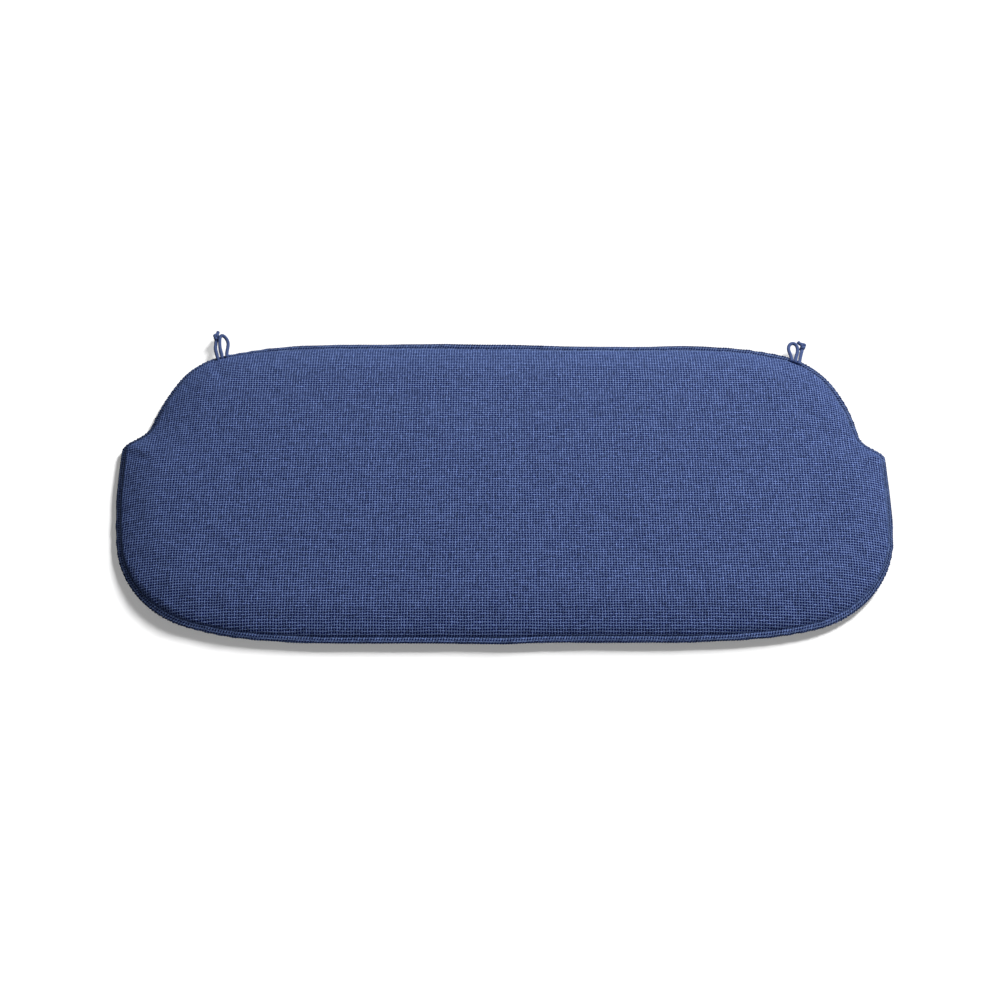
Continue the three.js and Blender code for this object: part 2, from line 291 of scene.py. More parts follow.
for tone in slub_tones:
    thicker = calculate(weave, "MULTIPLY_ADD", tone, SLUB_THICKNESS, 1.0)
    half_widths.append(calculate(weave, "MULTIPLY", half_width, thicker))
warp, weft = cross_threads(weave, places[0], places[1], half_widths)
on_top = calculate(weave, "GREATER_THAN", warp, weft)
height = calculate(weave, "MAXIMUM", warp, weft)
picked = calculate(weave, "SUBTRACT", slub_tones[0], slub_tones[1])
picked = calculate(weave, "ADD", calculate(weave, "MULTIPLY", picked, on_top), slub_tones[1])
flecked = weave_noise(given["Grain"], FLECK_SCALE, detail=1.0).outputs["Fac"]
flecked = calculate(weave, "SUBTRACT", flecked, 0.5)
picked = calculate(weave, "ADD", picked, calculate(weave, "MULTIPLY", flecked, given["Fleck"]))
put_out = nodes.new("NodeGroupOutput")
# The tone follows the height: besides the gaps' own dark, it paints shade down each thread's sides and where
# it dips under.
ramp = nodes.new("ShaderNodeMapRange")
ramp.inputs["From Max"].default_value = FULL_TONE
links.new(height, ramp.inputs["Value"])
links.new(ramp.outputs["Result"], put_out.inputs["Tone"])
links.new(height, put_out.inputs["Height"])
links.new(picked, put_out.inputs["Slub Tone"])


def woven_material(
    name, gap_colour, thread_colour, thread_pitch, settings, relief_height, roughness, fuzziness, light_and_shade_attribute=None
):
    """A finish of crossing threads on the piece's grain map. An attribute can paint light and shade on it."""
    material = bpy.data.materials.new(name)
    material.use_nodes = True
    tree = material.node_tree
    shader = tree.nodes["Principled BSDF"]
    grain = tree.nodes.new("ShaderNodeUVMap")
    grain.uv_map = "grain"
    to_threads = tree.nodes.new("ShaderNodeMapping")
    to_threads.inputs["Scale"].default_value = (1 / thread_pitch, 1 / thread_pitch, 1)
    tree.links.new(grain.outputs["UV"], to_threads.inputs["Vector"])
    threads = tree.nodes.new("ShaderNodeGroup")
    threads.node_tree = weave
    tree.links.new(to_threads.outputs["Vector"], threads.inputs["Grain"])
    for label, value in settings.items():
        threads.inputs[label].default_value = value
    # Gap colour to thread colour by the tone, which is partly painted shade down the threads' sides.
    colour = tree.nodes.new("ShaderNodeMix")
    colour.data_type = "RGBA"
    colour.inputs["A"].default_value = (*gap_colour, 1)
    colour.inputs["B"].default_value = (*thread_colour, 1)
    tree.links.new(threads.outputs["Tone"], colour.inputs["Factor"])
    uneven = tree.nodes.new("ShaderNodeVectorMath")
    uneven.operation = "SCALE"
    tree.links.new(colour.outputs["Result"], uneven.inputs["Vector"])
    tree.links.new(calculate(tree, "ADD", threads.outputs["Slub Tone"], 1.0), uneven.inputs["Scale"])
    # An attribute of the mesh scales the colour: painted light and shade.
    if light_and_shade_attribute:
        share = tree.nodes.new("ShaderNodeAttribute")
        share.attribute_name = light_and_shade_attribute
        painted_colour = tree.nodes.new("ShaderNodeVectorMath")
        painted_colour.operation = "SCALE"
        tree.links.new(uneven.outputs["Vector"], painted_colour.inputs["Vector"])
        tree.links.new(share.outputs["Fac"], painted_colour.inputs["Scale"])
        tree.links.new(painted_colour.outputs["Vector"], shader.inputs["Base Color"])
    else:
        tree.links.new(uneven.outputs["Vector"], shader.inputs["Base Color"])
    bump = tree.nodes.new("ShaderNodeBump")
    bump.inputs["Distance"].default_value = relief_height
    tree.links.new(threads.outputs["Height"], bump.inputs["Height"])
    tree.links.new(bump.outputs["Normal"], shader.inputs["Normal"])
    shader.inputs["Roughness"].default_value = roughness
    shader.inputs["Specular IOR Level"].default_value = DULLNESS
    edge_on = tree.nodes.new("ShaderNodeLayerWeight").outputs["Facing"]
    fuzz = calculate(tree, "MULTIPLY", calculate(tree, "MULTIPLY", edge_on, edge_on), fuzziness)
    tree.links.new(fuzz, shader.inputs["Sheen Weight"])
    shader.inputs["Sheen Roughness"].default_value = SHEEN_ROUGHNESS
    shader.inputs["Sheen Tint"].default_value = (*SHEEN_TINT, 1)
    return material


cord_braid = woven_material(
    "tie_cord_braid",
    gap_colour=(0.03, 0.045, 0.11),
    thread_colour=(0.11, 0.16, 0.36),
    thread_pitch=1.0,
    settings={"Thread Width": 1.0, "Slub": 0.12, "Fleck": 0.1},
    relief_height=0.00015,
    roughness=0.62,
    fuzziness=0.3,
)


def finished_mesh(drawn, tree, material):
    """What a tree makes of an object with one material, as a plain mesh."""
    modifier = drawn.modifiers.new(tree.name, "NODES")
    modifier.node_group = tree
    for item in tree.interface.items_tree:
        if item.in_out == "INPUT" and item.socket_type == "NodeSocketMaterial":
            modifier[item.identifier] = material
    drawn.update_tag()
    seen = drawn.evaluated_get(bpy.context.evaluated_depsgraph_get())
    mesh = bpy.data.meshes.new_from_object(seen)
    drawn.modifiers.remove(modifier)
    return mesh


def make_cord(name, route):
    """A piece of cord swept along its route."""
    curve = bpy.data.curves.new(name, "CURVE")
    curve.dimensions = "3D"
    spline = curve.splines.new("POLY")
    spline.points.add(len(route) - 1)
    spline.points.foreach_set("co", np.column_stack([route, np.ones(len(route))]).ravel())
    drawn = bpy.data.objects.new(name + "_route", curve)
    scene.collection.objects.link(drawn)
    piece = bpy.data.objects.new(name, finished_mesh(drawn, cord_tree, cord_braid))
    bpy.data.objects.remove(drawn)
    scene.collection.objects.link(piece)
    return piece


KNOT_OPENING = 0.62
KNOT_POINTS = 17


def overhand_knot(centre, size, turned, bulge_side):
    """The route of an overhand knot drawn tight: a trefoil, open where the cord comes in and goes out."""
    t = np.linspace(math.pi + KNOT_OPENING, 3 * math.pi - KNOT_OPENING, KNOT_POINTS)
    along = -(np.sin(t) + 2 * np.sin(2 * t)) / 3
    across = (np.cos(t) - 2 * np.cos(2 * t)) / 3 * bulge_side
    up = np.sin(3 * t)
    turn = math.radians(turned)
    x = across * size[0] / 2
    y = along * size[1] / 2
    z = up * size[2] / 2
    turned_x = x * math.cos(turn) - y * math.sin(turn)
    turned_y = x * math.sin(turn) + y * math.cos(turn)
    return np.array(centre) + np.column_stack([turned_x, turned_y, z])


# The routes' points are millimetres, as in the CAD. The cords' sewn ends run in over the seam lip, and the
# far ends of the single cords run on into their knots.
TIE_ROUTES = {
    "left_loop": [
        (-451.8, 238.9, 14.2), (-452.4, 241.6, 14), (-453.9, 248.3, 13.1), (-455.3, 253.0, 12.6),
        (-456.5, 257.6, 12.4), (-457.6, 262.4, 12.6), (-458.3, 267.1, 13), (-458.7, 272.3, 13.4),
        (-458.9, 277.6, 13.8), (-458.1, 282.3, 14), (-455.8, 284.8, 13.8), (-452.3, 283.4, 13),
        (-449.0, 280.0, 12), (-446.4, 275.0, 11.4), (-445.1, 269.2, 11.2), (-445.1, 263.5, 11.3),
        (-445.5, 257.7, 11.6), (-445.6, 251.7, 12.2), (-445.3, 246.8, 13), (-444.7, 243.7, 14),
        (-444.1, 240.9, 14.3),
    ],
    "left_tie": [
        (-458.2, 236.5, 14.3), (-459.0, 239.3, 14), (-461.1, 246.3, 12.9), (-463.1, 252.9, 12),
        (-464.7, 258.4, 11.2), (-465.3, 263.6, 10.6), (-465.2, 268.8, 10.1), (-465.5, 276.6, 8.8),
        (-465.9, 282.0, 8.2),
    ],
    "right_loop": [
        (464.7, 233.1, 14.2), (464.6, 235.8, 14), (464.5, 239.8, 12.9), (463.9, 246.7, 12),
        (462.4, 253.4, 11.5), (461.7, 259.9, 11.3), (463.0, 266.0, 11.2), (466.2, 269.8, 11.2),
        (470.0, 270.8, 11.2), (473.5, 268.7, 11.3), (475.7, 263.8, 11.5), (475.9, 257.3, 11.7),
        (474.8, 250.7, 12), (472.8, 244.5, 12.4), (471.3, 239.0, 12.9), (470.5, 233.1, 14),
        (470.1, 230.4, 14.3),
    ],
    "right_tie": [
        (475.4, 227.6, 14.4), (476.1, 230.3, 14), (477.3, 234.7, 13.1), (478.6, 239.9, 12.3),
        (479.9, 245.1, 11.6), (481.3, 250.5, 10.9), (483.4, 257.5, 9.5), (484.4, 262.9, 8.7),
    ],
}
ties = {}
for name, points in TIE_ROUTES.items():
    route = smooth_route(np.array(points) / 1000, ROUTE_SPACING)
    ties[name] = (make_cord(f"{name}_cord", route), route)

# Each knot's route goes on into its short free end, which stands out of the last turn.
left_turns = overhand_knot(
    centre=(-0.4660, 0.2835, 0.0090), size=(0.0076, 0.0088, 0.0070), turned=4, bulge_side=1
)
right_turns = overhand_knot(
    centre=(0.4858, 0.2650, 0.0090), size=(0.0080, 0.0088, 0.0070), turned=-12, bulge_side=-1
)
knots = {
    "left": np.vstack([left_turns, [(-0.4645, 0.2910, 0.0092), (-0.4635, 0.2965, 0.0096)]]),
    "right": np.vstack([right_turns, [(0.4802, 0.2705, 0.0115), (0.4775, 0.2738, 0.0128)]]),
}
for side, points in knots.items():
    knot = make_cord(f"{side}_knot_turns", smooth_route(points, ROUTE_SPACING))
    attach(knot, "root")
    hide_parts(f"{side}_knot")
    loop, loop_route = ties[f"{side}_loop"]
    tie, tie_route = ties[f"{side}_tie"]
    for cord, route in ((loop, loop_route), (tie, tie_route)):
        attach(cord, "root")
        knotted = cord is tie
        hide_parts(f"{side}_tie" if knotted else f"{side}_loop")


# The cushion pad is one bag of two cloth panels round a soft filling. The panels are cut to a sofa's seat,
# with a rounded back and a notch at each side, and the filling lifts the top panel over its edge in a roll.
WIDTH = 1.1925
DEPTH = 0.540
SEAM_HEIGHT = 0.010
EDGE_ROLL = {"round": 0.006, "front": 0.0095}
ROLL_BLEND = (-0.22, -0.12)
UNDER_ROLL = 0.014
LIP_REACH = 0.0085
LIP_WIDER = 0.0022
WIDER_AT_BACK = (0.05, 0.15)
WIDER_FROM_LEFT = (-0.45, -0.35)
TOP_RISE = 0.0195
SHOULDER_REACH = 0.018
CROWN = 0.003
CROWN_REACH = 0.230
BACK_SKEW = 0.002
SKEW_BLEND = 0.120
FRONT_RISE = {"left": 0.001, "right": 0.003}
RISE_BLEND = 0.080
BACK_DRAW = 0.003
DRAW_BLEND = (0.300, 0.400)
OUTLINE_STEP = 0.001

# Each run turns towards the front by some degrees on a radius in metres, left and right. The straight runs at
# the back, side and front take what is left of the width and depth.
BEFORE_SIDE = [
    {"left": (14, 0.780), "right": (14, 0.680)},
    {"left": (46, 0.115), "right": (47, 0.128)},
    {"left": (15, 0.325), "right": (20, 0.268)},
    {"left": (-41, 0.042), "right": (-46, 0.036)},
    {"straight": 0.0195},
    {"left": (56, 0.024), "right": (55, 0.018)},
]
AFTER_SIDE = [
    {"left": (9, 0.855), "right": (5, 1.020)},
    {"left": (64, 0.173), "right": (72, 0.181)},
    {"left": (12, 0.514), "right": (8, 0.596)},
    {"left": (5, 1.500), "right": (5, 1.500)},
]


def walk_half(side, back_straight, side_straight):
    """The outer edge from the middle of the back round one end to the front, as rows of x and y."""
    runs = [{"straight": back_straight}, *BEFORE_SIDE, {"straight": side_straight}, *AFTER_SIDE]
    points = [(0.0, 0.0)]
    x = y = heading = 0.0
    for run in runs:
        turn, radius = (0, 0) if "straight" in run else run[side]
        length = run["straight"] if "straight" in run else math.radians(abs(turn)) * radius
        steps = max(1, math.ceil(length / OUTLINE_STEP))
        bend = -math.radians(turn) / steps
        step = 2 * radius * math.sin(abs(bend) / 2) if turn else length / steps
        for _ in range(steps):
            x += math.cos(heading + bend / 2) * step
            y += math.sin(heading + bend / 2) * step
            heading += bend
            points.append((x, y))
    return np.array(points)


def smoothstep(value, low, high):
    """A smooth share from 0 at the low value to 1 at the high one."""
    t = np.clip((value - low) / (high - low), 0, 1)
    return t * t * (3 - 2 * t)


def half_edge(side):
    """One half at its full width and depth, closed to the middle of the front and skewed as it was sewn."""
    bare = walk_half(side, 0, 0)
    half = walk_half(side, WIDTH / 2 - bare[:, 0].max(), DEPTH + bare[-1, 1])
    to_middle = np.linspace(half[-1, 0], 0, round(half[-1, 0] / OUTLINE_STEP) + 1)[1:]
    half = np.vstack([half, np.column_stack([to_middle, np.full(len(to_middle), half[-1, 1])])])
    sign = -1 if side == "left" else 1
    towards_back = smoothstep(half[:, 1], -DEPTH, -DEPTH / 2)
    skew = -sign * BACK_SKEW * smoothstep(half[:, 0], 0, SKEW_BLEND) * towards_back
    rise = FRONT_RISE[side] * smoothstep(half[:, 0], 0, RISE_BLEND) * (1 - towards_back)
    drawn = BACK_DRAW * (1 - smoothstep(half[:, 0], *DRAW_BLEND)) * towards_back
    return np.column_stack([sign * half[:, 0], half[:, 1] + skew + rise - drawn])


def spaced_round(outline, spacing):
    """A closed outline again at even spacing, and its outward directions."""
    closed = np.vstack([outline, outline[:1]])
    walked = np.concatenate([[0], np.cumsum(np.linalg.norm(np.diff(closed, axis=0), axis=1))])
    at = np.linspace(0, walked[-1], round(walked[-1] / spacing), endpoint=False)
    points = np.stack([np.interp(at, walked, closed[:, axis]) for axis in (0, 1)], axis=1)
    tangent = np.roll(points, -1, axis=0) - np.roll(points, 1, axis=0)
    outward = np.column_stack([tangent[:, 1], -tangent[:, 0]])
    return points, outward / np.linalg.norm(outward, axis=1)[:, None]


edge = np.vstack([half_edge("left"), half_edge("right")[::-1][1:-1]])
edge[:, 1] -= (edge[:, 1].max() + edge[:, 1].min()) / 2
edge_points, edge_outward = spaced_round(edge, OUTLINE_STEP / 2)


def lip_reach(x, y):
    """How far the seam allowance stands out. It is wider along the back and round its right corner."""
    return LIP_REACH + LIP_WIDER * smoothstep(y, *WIDER_AT_BACK) * smoothstep(x, *WIDER_FROM_LEFT)


seam_fine = edge_points - edge_outward * lip_reach(*edge_points.T)[:, None]
seam_tree = kdtree.KDTree(len(seam_fine))
for index, (x, y) in enumerate(seam_fine):
    seam_tree.insert((x, y, 0), index)
seam_tree.balance()


def from_seam(x, y):
    """How far a point of the plan lies from the seam, and the outward direction there."""
    _, index, distance = seam_tree.find((x, y, 0))
    return distance, edge_outward[index]


def edge_roll(y):
    """The radius of the rolled edge, which is fuller along the front."""
    in_front = float(1 - smoothstep(y, *ROLL_BLEND))
    return EDGE_ROLL["round"] + (EDGE_ROLL["front"] - EDGE_ROLL["round"]) * in_front


def top_place(distance, roll):
    """Where the top cloth lies some distance in from the seam, as inwards and up.

    It rolls over its round edge, and rises over a soft shoulder to the low crown."""
    angle = math.pi / 2 * min(distance / roll, 1)
    inwards = roll * (1 - math.cos(angle)) if distance < roll else distance
    shoulder = (TOP_RISE - roll) * (1 - math.exp(-distance / SHOULDER_REACH))
    left = 1 - min(distance / CROWN_REACH, 1)
    return inwards, SEAM_HEIGHT + roll * math.sin(angle) + shoulder + CROWN * (1 - left * left)


def under_height(distance):
    """How high the under cloth lies: it curves down from the seam to the flat underside."""
    left = 1 - min(distance / UNDER_ROLL, 1)
    return SEAM_HEIGHT * (1 - math.sqrt(1 - left * left))


RING_SPACING = 0.005
RING_SLACK = 0.0004
TOP_RINGS = (0.0009, 0.0019, 0.0031, 0.0044, 0.006, 0.0077, 0.0097, 0.0125, 0.017, 0.0225, 0.029)
TOP_NET = 0.0075
UNDER_RINGS = (0.0012, 0.0042, 0.0084, 0.0130, 0.0190)
UNDER_NET = 0.013
NET_GAP = 0.6
NET_OVER = 0.01
INSIDE_SEAM = 1
SAME_POINT = 1e-7


def panel(rings, net):
    """A cloth panel laid flat: rings of points that follow the seam, and a square net of points inside them.

    Gives the points, their distances from the seam, the faces, and how many points lie on the seam."""
    seam, outward = spaced_round(seam_fine, RING_SPACING)
    count = len(seam)
    points = [tuple(p) for p in seam]
    distances = [0.0] * count
    for inset in rings:
        for x, y in seam - outward * inset:
            distance, _ = from_seam(x, y)
            if distance > inset - RING_SLACK:
                points.append((x, y))
                distances.append(distance)
    inside = net * NET_GAP + rings[-1]
    for x in np.arange(-WIDTH / 2, WIDTH / 2, net):
        for y in np.arange(-DEPTH / 2, DEPTH / 2 + NET_OVER, net):
            distance, direction = from_seam(x, y)
            nearest = seam_fine[seam_tree.find((x, y, 0))[1]]
            outside = (x - nearest[0]) * direction[0] + (y - nearest[1]) * direction[1]
            if distance > inside and outside < 0:
                points.append((x, y))
                distances.append(distance)
    boundary = [(i, (i + 1) % count) for i in range(count)]
    faces = delaunay_2d_cdt([Vector(p) for p in points], boundary, [], INSIDE_SEAM, SAME_POINT)[2]
    return points, distances, [tuple(face) for face in faces], count


top_points, top_distances, top_faces, seam_count = panel(TOP_RINGS, TOP_NET)
under_points, under_distances, under_faces, _ = panel(UNDER_RINGS, UNDER_NET)

# The filling is a little uneven, in swells about a hand across and in smaller ones. Each row is a height, how
# many swells there are to a metre, and a place in the noise.
SWELLS = ((0.0007, 9, 3.1), (0.0004, 24, 8.4))
SWELL_BLEND = 0.03


def unevenness(x, y, waves):
    """Smooth seeded waves at a point of the plan, added up."""
    return sum(size * noise.noise((x * often, y * often, place)) for size, often, place in waves)


pad_vertices = []
for (x, y), distance in zip(top_points, top_distances):
    swell = unevenness(x, y, SWELLS) * min(distance / SWELL_BLEND, 1)
    inwards, height = top_place(distance, edge_roll(y))
    _, direction = from_seam(x, y)
    out = distance - inwards
    pad_vertices.append((x + direction[0] * out, y + direction[1] * out, height + swell))
for (x, y), distance in zip(under_points[seam_count:], under_distances[seam_count:]):
    pad_vertices.append((x, y, under_height(distance)))
shift = len(top_points) - seam_count
under_index = [i if i < seam_count else i + shift for i in range(len(under_points))]
pad_faces = top_faces + [tuple(under_index[i] for i in reversed(face)) for face in under_faces]
pad_mesh = bpy.data.meshes.new("cushion_pad_cover")
pad_mesh.from_pydata(pad_vertices, [], pad_faces)
pad_mesh.update()


def cloth_coordinates(x, y, distance, direction):
    """Where a point of the rolled edge lies on the cloth when it is laid flat."""
    roll = edge_roll(y)
    if distance >= roll:
        return x, y
    taken_up = (1 - distance / roll) * (math.pi / 2 - 1) * roll
    return x + direction[0] * taken_up, y + direction[1] * taken_up


# The threads follow the cloth as it lay flat, in metres. The second map has room for both panels, for baking.
BAKE_SPAN = 1.3
TOP_MIDDLE = 0.75
UNDER_MIDDLE = 0.25
grain = pad_mesh.uv_layers.new(name="grain")
bake_map = pad_mesh.uv_layers.new(name="OFBake")
flat_places = {}
for polygon in pad_mesh.polygons:
    on_top = polygon.index < len(top_faces)
    for loop_index in polygon.loop_indices:
        vertex = pad_mesh.loops[loop_index].vertex_index
        if (vertex, on_top) not in flat_places:
            x, y = top_points[vertex] if vertex < len(top_points) else pad_vertices[vertex][:2]
            distance, direction = from_seam(x, y)
            laid_flat = cloth_coordinates(x, y, distance, direction) if on_top else (x, y)
            flat_places[vertex, on_top] = laid_flat
        u, v = flat_places[vertex, on_top]
        grain.data[loop_index].uv = (u, v)
        middle = TOP_MIDDLE if on_top else UNDER_MIDDLE
        bake_map.data[loop_index].uv = (0.5 + u / BAKE_SPAN, middle + v / BAKE_SPAN)
pad_mesh.uv_layers.active = grain
grain.active_render = True

pad = bpy.data.objects.new("cushion_pad_cover", pad_mesh)
scene.collection.objects.link(pad)

# The filling presses the cloth out: the seam and the underside are held, and the top swells and settles
# between them. No point moves further than a few millimetres from the pattern's own shape.
SWELL_LIMIT = 0.0035
HALF_HELD = 0.004
PRESSING_FRAMES = 20
held = pad.vertex_groups.new(name="held")
sewn = [i for i in range(len(pad_vertices)) if i < seam_count or i >= len(top_points)]
held.add(sewn, 1.0, "REPLACE")
for index in range(seam_count, len(top_points)):
    if top_distances[index] < HALF_HELD:
        held.add([index], 0.5, "REPLACE")
cloth = pad.modifiers.new("filling", "CLOTH")
cloth.settings.effector_weights.gravity = 0
cloth.settings.use_pressure = True
cloth.settings.uniform_pressure_force = 4
cloth.settings.vertex_group_mass = "held"
cloth.settings.quality = 6
cloth.settings.tension_stiffness = 40
cloth.settings.compression_stiffness = 40
cloth.settings.bending_stiffness = 3
cloth.collision_settings.use_collision = False
cloth.point_cache.frame_start = 1
cloth.point_cache.frame_end = PRESSING_FRAMES
for frame_number in range(1, PRESSING_FRAMES + 1):
    scene.frame_set(frame_number)
seen = pad.evaluated_get(bpy.context.evaluated_depsgraph_get())
settled = np.array([v.co for v in seen.data.vertices])
scene.frame_set(1)
pad.modifiers.remove(cloth)
rest = np.array(pad_vertices)
moved = settled - rest
moved[:seam_count] = 0
moved[len(top_points):] = 0
far = np.linalg.norm(moved, axis=1)
moved *= (np.tanh(far / SWELL_LIMIT) * SWELL_LIMIT / np.maximum(far, 1e-9))[:, None]
pad_mesh.vertices.foreach_set("co", (rest + moved).astype(np.float32).ravel())
pad_mesh.update()
for polygon in pad_mesh.polygons:
    polygon.use_smooth = True
subdivide = pad.modifiers.new("fine_cloth", "SUBSURF")
subdivide.levels = 1
subdivide.render_levels = 1
subdivide.use_limit_surface = False

# The cover's cloth, which the lip is folded from as well: thick matte threads of one blue, uneven and
# flecked, with dark gaps between them.
THREAD_PITCH = 0.0041
COVER = {
    "gap_colour": (0.0, 0.0045, 0.092),
    "thread_colour": (0.222, 0.322, 0.64),
    "thread_pitch": THREAD_PITCH,
    "relief_height": 0.0006,
    "roughness": 0.85,
}
UNEVEN_THREADS = {"Wander": 0.5, "Slub": 0.4, "Slub Length": 5.0, "Fleck": 1.0}
woven_cover = woven_material(
    "woven_cover_cloth",
    settings={"Thread Width": 0.38, **UNEVEN_THREADS},
    fuzziness=0.9,
    **COVER,
)
pad_mesh.materials.append(woven_cover)
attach(pad, "root")
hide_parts("cushion_pad")


# The seam lip is the two panels' seam allowance, folded in and sewn flat, so that a narrow double band of the
# same cloth stands out all round. It droops a little towards what it lies on. Along the back it is level, and
# lifted a little in two places.
LIP_THICKNESS = 0.0029
LIP_THINNED = 0.35
LIP_DROOP = 0.0030
LEVEL_RIGHT = (0.3, 0.4)
LEVEL_BACK = (0.08, 0.16)
LIP_WAVE = 0.0009
WAVES = ((1.0, 14, 5.5), (0.5, 40, 2.2))
LIP_LIFT = 0.0025
LIFTS = ((1.0, 0.305, 0.05), (1.1, -0.06, 0.11))
LIFT_BACK = (0.1, 0.2)
LIP_SPACING = 0.001
OUT_STEPS = [-0.0006, 0.0008, 0.0022, 0.0036, 0.0050, 0.0063, 0.0074, 0.0082]
LIP_EDGE = 0.0086
section = [(out, 1) for out in OUT_STEPS] + [(LIP_EDGE, 0)] + [(out, -1) for out in reversed(OUT_STEPS)]
lip_seam, lip_outward = spaced_round(seam_fine, LIP_SPACING)
lip_count = len(lip_seam)
lip_vertices = []
for (x, y), (nx, ny) in zip(lip_seam, lip_outward):
    level = max(1 - smoothstep(abs(x), *DRAW_BLEND), smoothstep(x, *LEVEL_RIGHT)) * smoothstep(y, *LEVEL_BACK)
    lifted = sum(size * math.exp(-(((x - middle) / spread) ** 2)) for size, middle, spread in LIFTS)
    lifted *= smoothstep(y, *LIFT_BACK)
    wave = LIP_WAVE * unevenness(x, y, WAVES)
    droop = LIP_DROOP * (1 - float(level)) + wave - LIP_LIFT * float(lifted)
    widened = float(lip_reach(x, y)) / LIP_REACH
    for out, face in section:
        share = max(out, 0) / LIP_REACH
        half = LIP_THICKNESS / 2 * (1 - LIP_THINNED * share**4)
        z = SEAM_HEIGHT - droop * share**1.4 + face * half
        lip_vertices.append((x + nx * out * widened, y + ny * out * widened, z))
ring = len(section)
lip_faces = []
for i in range(lip_count):
    j = (i + 1) % lip_count
    for k in range(ring):
        m = (k + 1) % ring
        lip_faces.append((i * ring + k, j * ring + k, j * ring + m, i * ring + m))
lip_mesh = bpy.data.meshes.new("seam_lip_band")
lip_mesh.from_pydata(lip_vertices, [], lip_faces)
lip_mesh.update()

# The band is darker than the top. Its left end is darker still, as painted shade, and along the front its
# inner part is paler, as painted light. Its threads run aslant to the seam.
BAND_TONE = 0.64
PAINTED_LEFT_SHADE = 0.26
LEFT_END = (-0.58, -0.50)
PAINTED_FRONT_LIGHT = 0.40
FRONT_LIGHT_BLEND = (-0.24, -0.16)
FRONT_LIGHT_FROM_LEFT = (-0.55, -0.30)
FRONT_LIGHT_INNER = (0.45, 0.85)
GRAIN_SLANT = 0.0006
GRAIN_ROUND = 0.0014
painted_light_and_shade = lip_mesh.attributes.new("painted_light_and_shade", "FLOAT", "POINT")
for index, vertex in enumerate(lip_mesh.vertices):
    share = max(section[index % ring][0], 0) / LIP_REACH
    x, y, _ = vertex.co
    in_front = (1 - smoothstep(y, *FRONT_LIGHT_BLEND)) * smoothstep(x, *FRONT_LIGHT_FROM_LEFT)
    painted_light_share = float(in_front * (1 - smoothstep(share, *FRONT_LIGHT_INNER)))
    left_shade_share = float(1 - smoothstep(x, *LEFT_END))
    # The value paints shade on the left end of the band and light on the front's inner part.
    painted_light_and_shade.data[index].value = BAND_TONE - PAINTED_LEFT_SHADE * left_shade_share + PAINTED_FRONT_LIGHT * painted_light_share
grain = lip_mesh.uv_layers.new(name="grain")
for polygon in lip_mesh.polygons:
    i, k = divmod(polygon.index, ring)
    corners = ((i, k), (i + 1, k), (i + 1, k + 1), (i, k + 1))
    for loop_index, (step, around) in zip(polygon.loop_indices, corners):
        grain.data[loop_index].uv = (step * LIP_SPACING + around * GRAIN_SLANT, around * GRAIN_ROUND)
folded_cover = woven_material(
    "folded_cover_cloth",
    settings={"Thread Width": 0.52, **UNEVEN_THREADS},
    fuzziness=0.4,
    light_and_shade_attribute="painted_light_and_shade",
    **COVER,
)
lip_mesh.materials.append(folded_cover)
lip = bpy.data.objects.new("seam_lip_band", lip_mesh)
scene.collection.objects.link(lip)

# The lip tree raises the cloth's crossing threads out of the band, so that its rim is as uneven as a fold in
# such a coarse weave is.
RAISED_WIDTH = 0.4
RAISED_MIDDLE = 0.6
lip_tree = bpy.data.node_groups.new("woven_band", "GeometryNodeTree")
given = add_inputs(
    lip_tree,
    (
        ("Band", "NodeSocketGeometry", None),
        ("Thread Pitch", "NodeSocketFloat", THREAD_PITCH),
        ("Thread Relief", "NodeSocketFloat", 0.0016),
        ("Cloth", "NodeSocketMaterial", None),
    ),
)
where = lip_tree.nodes.new("ShaderNodeSeparateXYZ")
position = lip_tree.nodes.new("GeometryNodeInputPosition").outputs["Position"]
lip_tree.links.new(position, where.inputs[0])
across = calculate(lip_tree, "DIVIDE", where.outputs["X"], given["Thread Pitch"])
along = calculate(lip_tree, "DIVIDE", where.outputs["Y"], given["Thread Pitch"])
raised = cross_threads(lip_tree, across, along, half_widths=(RAISED_WIDTH, RAISED_WIDTH))
raised = calculate(lip_tree, "SUBTRACT", calculate(lip_tree, "MAXIMUM", *raised), RAISED_MIDDLE)
relief = calculate(lip_tree, "MULTIPLY", raised, given["Thread Relief"])
end_tree(lip_tree, given["Band"], relief, given["Cloth"])
lip.data = finished_mesh(lip, lip_tree, folded_cover)
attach(lip, "root")
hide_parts("edge_lip")


# The studio: a white paper floor that the cushion lies on, and white all round. Soft lights on the right, at
# the back and in front light the cushion alone. Low ones from behind light the paper and draw the shadows.
FLOOR_REACH = 12
floor_corners = [(x * FLOOR_REACH, y * FLOOR_REACH, 0) for x, y in ((-1, -1), (1, -1), (1, 1), (-1, 1))]
floor_mesh = bpy.data.meshes.new("studio_floor")
floor_mesh.from_pydata(floor_corners, [], [(0, 1, 2, 3)])
floor = bpy.data.objects.new("studio_floor", floor_mesh)
scene.collection.objects.link(floor)
paper = bpy.data.materials.new("white_paper")
paper.use_nodes = True
paper_shader = paper.node_tree.nodes["Principled BSDF"]
paper_shader.inputs["Roughness"].default_value = 1.0
paper_shader.inputs["Specular IOR Level"].default_value = 0.0
floor_mesh.materials.append(paper)
world = bpy.data.worlds.new("studio")
world.use_nodes = True
scene.world = world
sky = world.node_tree.nodes["Background"]
sky.inputs["Strength"].default_value = 1.0


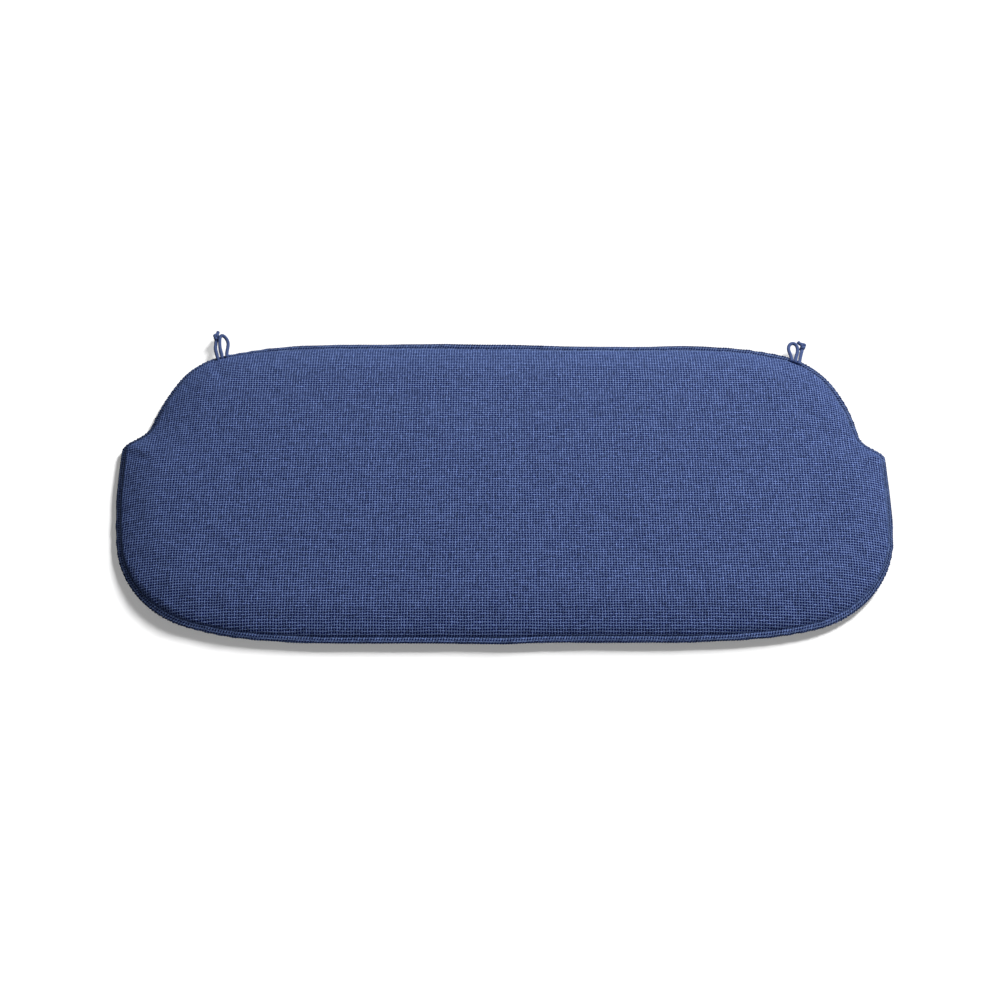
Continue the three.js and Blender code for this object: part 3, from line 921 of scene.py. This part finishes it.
def set_grey(tree, socket, seen, cast):
    """Sets a grey as the camera sees it, and a dimmer one for the light that it throws on other things."""
    grey = tree.nodes.new("ShaderNodeMix")
    grey.data_type = "RGBA"
    grey.inputs["A"].default_value = (cast, cast, cast, 1)
    grey.inputs["B"].default_value = (seen, seen, seen, 1)
    direct = tree.nodes.new("ShaderNodeLightPath").outputs["Is Camera Ray"]
    tree.links.new(direct, grey.inputs["Factor"])
    tree.links.new(grey.outputs["Result"], socket)


set_grey(paper.node_tree, paper_shader.inputs["Base Color"], seen=0.95, cast=0.15)
set_grey(world.node_tree, sky.inputs["Color"], seen=1.0, cast=0.04)

cushion_only = bpy.data.collections.new("lit_by_the_soft_lights")
knot_pieces = [bpy.data.objects[f"{side}_knot_turns"] for side in knots]
for piece in [pad, lip, *(cord for cord, _ in ties.values()), *knot_pieces]:
    cushion_only.objects.link(piece)
floor_only = bpy.data.collections.new("lit_by_the_low_lights")
floor_only.objects.link(floor)

for name, watts, place in (("side_box", 13.5, (1.7, 0.3, 1.4)), ("back_box", 18.6, (0.3, 1.2, 1.5))):
    box_data = bpy.data.lights.new(name, "AREA")
    box_data.shape = "DISK"
    box_data.size = 1.0
    box_data.energy = watts
    box = bpy.data.objects.new(name, box_data)
    box.location = place
    box.rotation_euler = (-box.location).to_track_quat("-Z", "Y").to_euler()
    scene.collection.objects.link(box)
    box.light_linking.receiver_collection = cushion_only


def far_light(name, lit, strength, degrees, towards, shadow=True):
    """A light as from far off, some degrees wide, that lights the pieces of one collection."""
    sun_data = bpy.data.lights.new(name, "SUN")
    sun_data.angle = math.radians(degrees)
    sun_data.energy = strength
    sun_data.use_shadow = shadow
    sun = bpy.data.objects.new(name, sun_data)
    sun.rotation_euler = (-Vector(towards)).to_track_quat("-Z", "Y").to_euler()
    scene.collection.objects.link(sun)
    sun.light_linking.receiver_collection = lit
    return sun


far_light("side_light", cushion_only, strength=0.73, degrees=20, towards=(1, 0, 1))
far_light("front_light", cushion_only, strength=0.12, degrees=20, towards=(0, -1, 1))

# Two low lights from behind on the right draw the shadows on the paper. Only the pad and its lip shade one of
# them, which leaves the shadows of the ties paler. The last light has no shadow and thins them all.
LOW_FROM = (1.2, 1.6, 1.05)
pad_and_lip = bpy.data.collections.new("shades_the_low_light")
pad_and_lip.objects.link(pad)
pad_and_lip.objects.link(lip)
far_light("low_light", floor_only, strength=4.5, degrees=17, towards=LOW_FROM)
low_pad_light = far_light("low_pad_light", floor_only, strength=1.8, degrees=12, towards=LOW_FROM)
low_pad_light.light_linking.blocker_collection = pad_and_lip
far_light("paper_light", floor_only, strength=0.9, degrees=0, towards=(0, 0, 1), shadow=False)

scene.view_settings.view_transform = "Standard"

bpy.context.view_layer.update()
